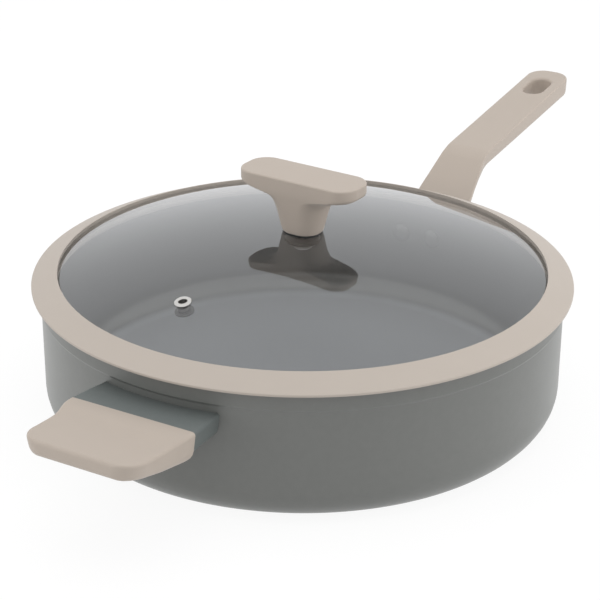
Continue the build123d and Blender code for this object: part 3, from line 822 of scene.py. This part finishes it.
# Long grip: sections hung below its top line
gripSet = {
    "seam": 160.0,
    "rootTop": 54.0,
    "kink": (203.0, 82.0),
    "riseAngle": 34.6,
    "gripAngle": 6.3,
    "tip": 337.9,
    "rootRound": 6.0,
    "rootSegments": 6,
    "kinkRound": 25.0,
    "kinkSegments": 8,
    "longRun": 12.0,
    "runSteps": 5,
    "tipCorner": 10.0,
    "tipChin": 9.0,
    "tipShares": (0.3, 0.6),
    "tipSteps": 10,
    "topRound": 1.3,
    "bottomRound": 3.0,
    "roundsInDepth": 3,
    "segments": 5,
    # reach, width, narrowing below, depth
    "rows": (
        (160.0, 38.0, 0.0, 16.0),
        (167.0, 37.7, 6.0, 14.0),
        (174.0, 36.7, 9.5, 12.6),
        (183.0, 34.0, 9.5, 12.0),
        (191.0, 31.9, 8.5, 11.6),
        (198.0, 29.9, 6.0, 11.0),
        (203.0, 28.8, 3.6, 10.6),
        (212.0, 28.4, 2.4, 10.6),
        (266.0, 28.2, 2.0, 11.5),
        (338.0, 28.0, 2.0, 12.8),
    ),
}
slotSet = {
    "length": 26.0,
    "width": 13.8,
    "fromTip": 26.0,
    "endShare": 0.98,
    "endSegments": 10,
    "cutReach": 30.0,
    "round": 1.8,
    "roundSegments": 5,
    "around": (0.3, 0.2),
    "levelLimit": 0.5,
    "wallLimit": 0.1,
}


# The top line as a wire whose corners are rounded, from the seam to the tip
def topLine():
    s = gripSet
    kinkX, kinkZ = s["kink"]
    bendX = kinkX - (kinkZ - s["rootTop"]) / math.tan(math.radians(s["riseAngle"]))
    tipZ = kinkZ + (s["tip"] - kinkX) * math.tan(math.radians(s["gripAngle"]))
    corners = ((s["seam"], s["rootTop"]), (bendX, s["rootTop"]), (kinkX, kinkZ), (s["tip"], tipZ))
    bm = bmesh.new()
    placed = [bm.verts.new((x, 0, z)) for x, z in corners]
    for pair in zip(placed, placed[1:]):
        bm.edges.new(pair)
    rootReach = s["rootRound"] * math.tan(math.radians(s["riseAngle"] / 2))
    kinkReach = s["kinkRound"] * math.tan(math.radians((s["riseAngle"] - s["gripAngle"]) / 2))
    roundCorner(bm, [placed[1]], rootReach, s["rootSegments"])
    roundCorner(bm, [placed[2]], kinkReach, s["kinkSegments"])
    spots = sorted((vertex.co.copy() for vertex in bm.verts), key=lambda spot: spot.x)
    bm.free()
    return spots


def makeGrip():
    s = gripSet
    spots = topLine()
    bm = bmesh.new()
    rings = []

    # One section; drawn is how far the tip's rounding has drawn it in
    def addRing(spot, ahead, drawn=0):
        width, narrowing, depth = between(s["rows"], spot.x)
        half = width / 2 - s["tipCorner"] * drawn
        low = half - narrowing * (1 - drawn) / 2
        depth -= s["tipChin"] * drawn
        lowRound = min(s["bottomRound"], depth / s["roundsInDepth"])
        corners = ((-low, -depth), (low, -depth), (-half, 0), (half, 0))
        turned = axesTurn(sideways, ahead.cross(sideways).normalized(), ahead)
        place = Matrix.Translation(spot * mm) @ turned
        rings.append(fourCornerRing(bm, corners, (lowRound, s["topRound"]), s["segments"], place))

    lastBend = len(spots) - 2
    for index, spot in enumerate(spots[:-1]):
        after = spots[index + 1]
        straight = (after - spot).normalized()
        if index in (0, lastBend):
            addRing(spot, straight)
        else:
            addRing(spot, (after - spots[index - 1]).normalized())
        if (after - spot).length > s["longRun"] and index < lastBend:
            for step in range(1, s["runSteps"]):
                addRing(spot + (after - spot) * step / s["runSteps"], straight)
    last, tip = spots[-2:]
    straight = (tip - last).normalized()
    for share in s["tipShares"]:
        addRing(last + (tip - last) * share, straight)
    for ahead, inward in quarterTurn(s["tipSteps"]):
        addRing(tip - straight * s["tipCorner"] * ahead, straight, inward)
    skinRings(bm, rings)
    grip = finishPiece("longGrip", bm, "soft_grip", "pan", "handle_grip")
    cutSlot(grip, tip, straight)


# The hanging slot: a long hole cut square to the top face, its rims rounded
def cutSlot(grip, tip, straight):
    s = slotSet
    bm = bmesh.new()
    half, width = s["length"] / 2, s["width"] / 2
    middle = tip - straight * s["fromTip"]
    up = straight.cross(sideways).normalized()
    turned = axesTurn(-sideways, straight, up)
    endRound = width * s["endShare"]
    rings = []
    for lift in (-s["cutReach"], s["cutReach"]):
        place = Matrix.Translation((middle + up * lift) * mm) @ turned
        corners = rectangle(width, half)
        rings.append(fourCornerRing(bm, corners, (endRound, endRound), s["endSegments"], place))
    skinRings(bm, rings)
    cutAway(grip, "slotCutter", bm)
    bm = bmesh.new()
    bm.from_mesh(grip.data)
    rims = []
    farAlong, farAcross = ((half + s["around"][0]) * mm, (width + s["around"][1]) * mm)
    for edge in bm.edges:
        spots = [vertex.co - middle * mm for vertex in edge.verts]
        near = all(abs(spot.dot(straight)) < farAlong and abs(spot.y) < farAcross for spot in spots)
        level = abs((spots[1] - spots[0]).normalized().dot(up)) < s["levelLimit"]
        onWall = [
            len(face.verts) == 4 and abs(face.normal.dot(up)) < s["wallLimit"] for face in edge.link_faces
        ]
        if near and level and onWall.count(True) == 1:
            rims.append(edge)
    bmesh.ops.bevel(
        bm, geom=rims, offset=s["round"] * mm, offset_type="OFFSET", segments=s["roundSegments"],
        profile=0.5, affect="EDGES", material=-1, clamp_overlap=True,
    )
    print("slot cut, rim edges", len(rims))
    bm.to_mesh(grip.data)
    bm.free()
    smoothFaces(grip, meshSet["sharp"])


makeGrip()
print("long grip ready")


# Helper handle: painted bracket and soft grip, both made of sections along -X
helperSet = {
    "wallHalf": 34.4,
    "seamHalf": 35.97,
    "top": 59.7,
    "slope": 3.0,
    "seam": 160.4,
    "reach": 206.5,
    "topRound": 2.0,
    "segments": 5,
    "bracketBottom": 47.3,
    "bracketRound": 3.6,
    "bracketLean": 8.0,
    "bracketRoots": (130.0, 145.0),
    "bracketSunk": 0.5,
    "wallReach": 131.2,
    "wallCuts": 9,
    "wallPitch": 4.0,
    "gripBottom": 42.6,
    "gripRise": 7.7,
    "frontRound": 3.4,
    "frontCorner": 12.0,
    "frontSteps": 12,
    "roundShares": (0.45, 0.3),
    # run from the seam, half width, drop of the top, lean of the sides in degrees, lower rounding
    "rows": (
        (0.0, 35.97, 0.0, 6.0, 7.6),
        (3.0, 35.93, 0.0, 5.6, 7.5),
        (6.0, 35.7, 0.1, 4.8, 7.2),
        (8.5, 35.2, 0.45, 4.0, 6.8),
        (11.0, 34.6, 0.95, 3.2, 6.2),
        (14.0, 33.9, 1.4, 2.4, 5.4),
        (17.5, 33.45, 1.68, 2.4, 4.6),
        (22.0, 33.37, 1.7, 4.0, 4.0),
        (30.0, 33.37, 1.5, 10.0, 3.4),
        (38.0, 33.37, 1.25, 14.0, 3.4),
        (46.1, 33.37, 1.1, 16.0, 3.4),
    ),
}


# How far a rounded edge lies inside its corner, at a distance from the face beside it
def roundedOff(back, radius):
    if back >= radius:
        return 0.0
    return radius - math.sqrt(radius ** 2 - (radius - back) ** 2)


def helperRing(bm, reach, half, top, bottom, roundings, lean):
    s = helperSet
    wallTop = Matrix.Translation((-bodySet["radius"] * mm, 0, s["top"] * mm))
    sloped = wallTop @ Matrix.Rotation(math.radians(s["slope"]), 4, "Y") @ wallTop.inverted()
    turned = axesTurn(sideways, upright, sideways.cross(upright))
    place = sloped @ Matrix.Translation((-reach * mm, 0, 0)) @ turned
    inward = math.tan(math.radians(lean))
    corners = [
        (side * (half - (s["top"] - height) * inward), height)
        for height in (bottom, top) for side in (-1, 1)
    ]
    return fourCornerRing(bm, corners, roundings, s["segments"], place)


def makeHelperGrip():
    s = helperSet
    length = s["reach"] - s["seam"]
    runs = [row[0] for row in s["rows"] if row[0] < length - s["frontCorner"]]
    runs += [length - s["frontCorner"] * ahead for ahead, _ in quarterTurn(s["frontSteps"])]
    lowShare, topShare = s["roundShares"]
    bm = bmesh.new()
    rings = []
    for run in runs:
        half, drop, lean, lowRound = between(s["rows"], run)
        back = length - run
        half -= roundedOff(back, s["frontCorner"])
        top = s["top"] - drop - roundedOff(back, s["topRound"])
        bottom = s["gripBottom"] + s["gripRise"] * run / length + roundedOff(back, s["frontRound"])
        depth = top - bottom
        roundings = (min(lowRound, depth * lowShare), min(s["topRound"], depth * topShare))
        rings.append(helperRing(bm, s["seam"] + run, half, top, bottom, roundings, lean))
    skinRings(bm, rings)
    finishPiece("helperGrip", bm, "soft_grip", "pan", "helper_grip")


# The bracket's root is cut into strips, which then follow the round wall of the pan
def makeHelperBracket():
    s = helperSet
    bm = bmesh.new()
    widening = (s["seamHalf"] - s["wallHalf"]) / (s["seam"] - bodySet["radius"])
    roundings = (s["bracketRound"], s["topRound"])
    rings = []
    for reach in (*s["bracketRoots"], s["seam"]):
        half = s["seamHalf"] - (s["seam"] - reach) * widening
        rings.append(
            helperRing(bm, reach, half, s["top"], s["bracketBottom"], roundings, s["bracketLean"])
        )
    skinRings(bm, rings)
    for cut in range(-s["wallCuts"], s["wallCuts"] + 1):
        bmesh.ops.bisect_plane(
            bm, geom=bm.verts[:] + bm.edges[:] + bm.faces[:], plane_co=(0, cut * s["wallPitch"] * mm, 0),
            plane_no=sideways, dist=meshSet["onPlane"],
        )
    wallRadius = (bodySet["radius"] - s["bracketSunk"]) * mm
    for vertex in bm.verts:
        if vertex.co.x > -s["wallReach"] * mm:
            vertex.co.x = -math.sqrt(wallRadius ** 2 - vertex.co.y ** 2)
    tidyMesh(bm)
    finishPiece("helperBracket", bm, "bracket_paint", "pan", "helper_bracket")


makeHelperGrip()
makeHelperBracket()
print("helper handle ready")


# Steam vent: a rolled steel eyelet seated on the dome
ventSet = {
    "reach": 93.3,
    "turn": 170.3,
    "bore": 2.2,
    "boreDrop": 0.5,
    "boreRound": 0.3,
    "height": 1.4,
    "crestRounds": (0.4, 0.6),
    "flange": 4.65,
    "flangeSlope": 0.9,
    "flangeDrop": 0.7,
    "flangeRound": 0.4,
    "footInset": 0.3,
    "footRound": 0.1,
    "barrel": 3.1,
    "depth": 5.6,
    "roll": 4.3,
    "rollHeight": 0.7,
    "rollRounds": (0.2, 0.3),
    "steps": 48,
    "segments": 4,
    "hole": 3.2,
    "holeSegments": 32,
    "holeDepth": 30.0,
}


def ventPlace():
    s = ventSet
    angle = math.radians(s["turn"])
    spot = Vector((s["reach"] * math.cos(angle), s["reach"] * math.sin(angle), glassHeight(s["reach"])))
    out = (spot - Vector((0, 0, glassSet["crown"] - domeRadius()))).normalized()
    return Matrix.Translation(spot * mm) @ out.to_track_quat("Z", "Y").to_matrix().to_4x4()


def makeVent():
    s = ventSet
    nearRound, farRound = s["crestRounds"]
    rollTop, rollLow = s["rollRounds"]
    bm = turnedPiece([
        (s["bore"], s["height"] - s["boreDrop"], s["boreRound"]),
        (s["bore"] + s["boreDrop"], s["height"], nearRound),
        (s["flange"] - s["flangeSlope"], s["height"], farRound),
        (s["flange"], s["height"] - s["flangeDrop"], s["flangeRound"]),
        (s["flange"] - s["footInset"], 0, s["footRound"]),
        (s["barrel"], 0, 0),
        (s["barrel"], s["rollHeight"] - s["depth"], 0),
        (s["roll"], s["rollHeight"] - s["depth"], rollTop),
        (s["roll"], -s["depth"], rollLow),
        (s["bore"], -s["depth"], rollLow),
    ], s["steps"], s["segments"])
    bmesh.ops.transform(bm, matrix=ventPlace(), verts=bm.verts)
    finishPiece("ventEyelet", bm, "vent_steel", "lid", "vent_eyelet")


# Opens the glass under the eyelet
def cutVent():
    s = ventSet
    bm = bmesh.new()
    bmesh.ops.create_cone(
        bm, cap_ends=True, segments=s["holeSegments"], radius1=s["hole"] * mm, radius2=s["hole"] * mm,
        depth=s["holeDepth"] * mm, matrix=ventPlace(),
    )
    cutAway(glassDome, "ventCutter", bm)


makeVent()
cutVent()


# Rivets: domed coated heads inside the pan
rivetSet = {
    "head": 5.5,
    "headHeight": 2.2,
    "crownShares": (0.62, 0.86),
    "crownRound": 1.6,
    "edgeShare": 0.18,
    "edgeRound": 0.5,
    "sunk": 0.05,
    "shank": 2.5,
    "bracketWall": 3.0,
    "tail": 3.7,
    "tailHeight": 1.6,
    "tailRounds": (0.3, 0.8),
    "steps": 32,
    "segments": 5,
    "handleHeight": 47.2,
    "handleSpacing": 20.0,
    "helperHeight": 51.8,
    "helperSpacing": 40.0,
}


def makeRivets(name, node, height, spacing, facing):
    s = rivetSet
    inner = bodySet["radius"] - bodySet["wall"]
    seat = math.sqrt(inner ** 2 - s["head"] ** 2)
    tail = bodySet["radius"] + s["bracketWall"]
    crownReach, crownHeight = s["crownShares"]
    nearRound, farRound = s["tailRounds"]
    whole = bmesh.new()
    for side in (-1, 1):
        angle = side * math.asin(spacing / 2 / inner)
        ahead = Vector((facing * math.cos(angle), math.sin(angle), 0))
        bm = turnedPiece([
            (0, seat - s["headHeight"], 0),
            (s["head"] * crownReach, seat - s["headHeight"] * crownHeight, s["crownRound"]),
            (s["head"], seat - s["headHeight"] * s["edgeShare"], s["edgeRound"]),
            (s["head"], seat + s["sunk"], 0),
            (s["shank"], seat + s["sunk"], 0),
            (s["shank"], tail, 0),
            (s["tail"], tail, nearRound),
            (s["tail"], tail + s["tailHeight"], farRound),
            (0, tail + s["tailHeight"], 0),
        ], s["steps"], s["segments"])
        place = Matrix.Translation((0, 0, height * mm)) @ axesTurn(ahead.cross(upright), upright, ahead)
        bmesh.ops.transform(bm, matrix=place, verts=bm.verts)
        tidyMesh(bm)
        part = bpy.data.meshes.new("rivet")
        bm.to_mesh(part)
        bm.free()
        whole.from_mesh(part)
        bpy.data.meshes.remove(part)
    finishPiece(name, whole, "coated_rivet", "pan", node)


makeRivets("longRivets", "handle_rivets", rivetSet["handleHeight"], rivetSet["handleSpacing"], 1)
makeRivets("helperRivets", "helper_rivets", rivetSet["helperHeight"], rivetSet["helperSpacing"], -1)
print("fixings ready")


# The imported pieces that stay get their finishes
slotsOfNodes = {part["node"]: part["material_slot"] for part in frame["record"]["subparts"]}
for nodeName, node in frame["nodes"].items():
    node.data.materials.clear()
    node.data.materials.append(finishes[slotsOfNodes[nodeName]])
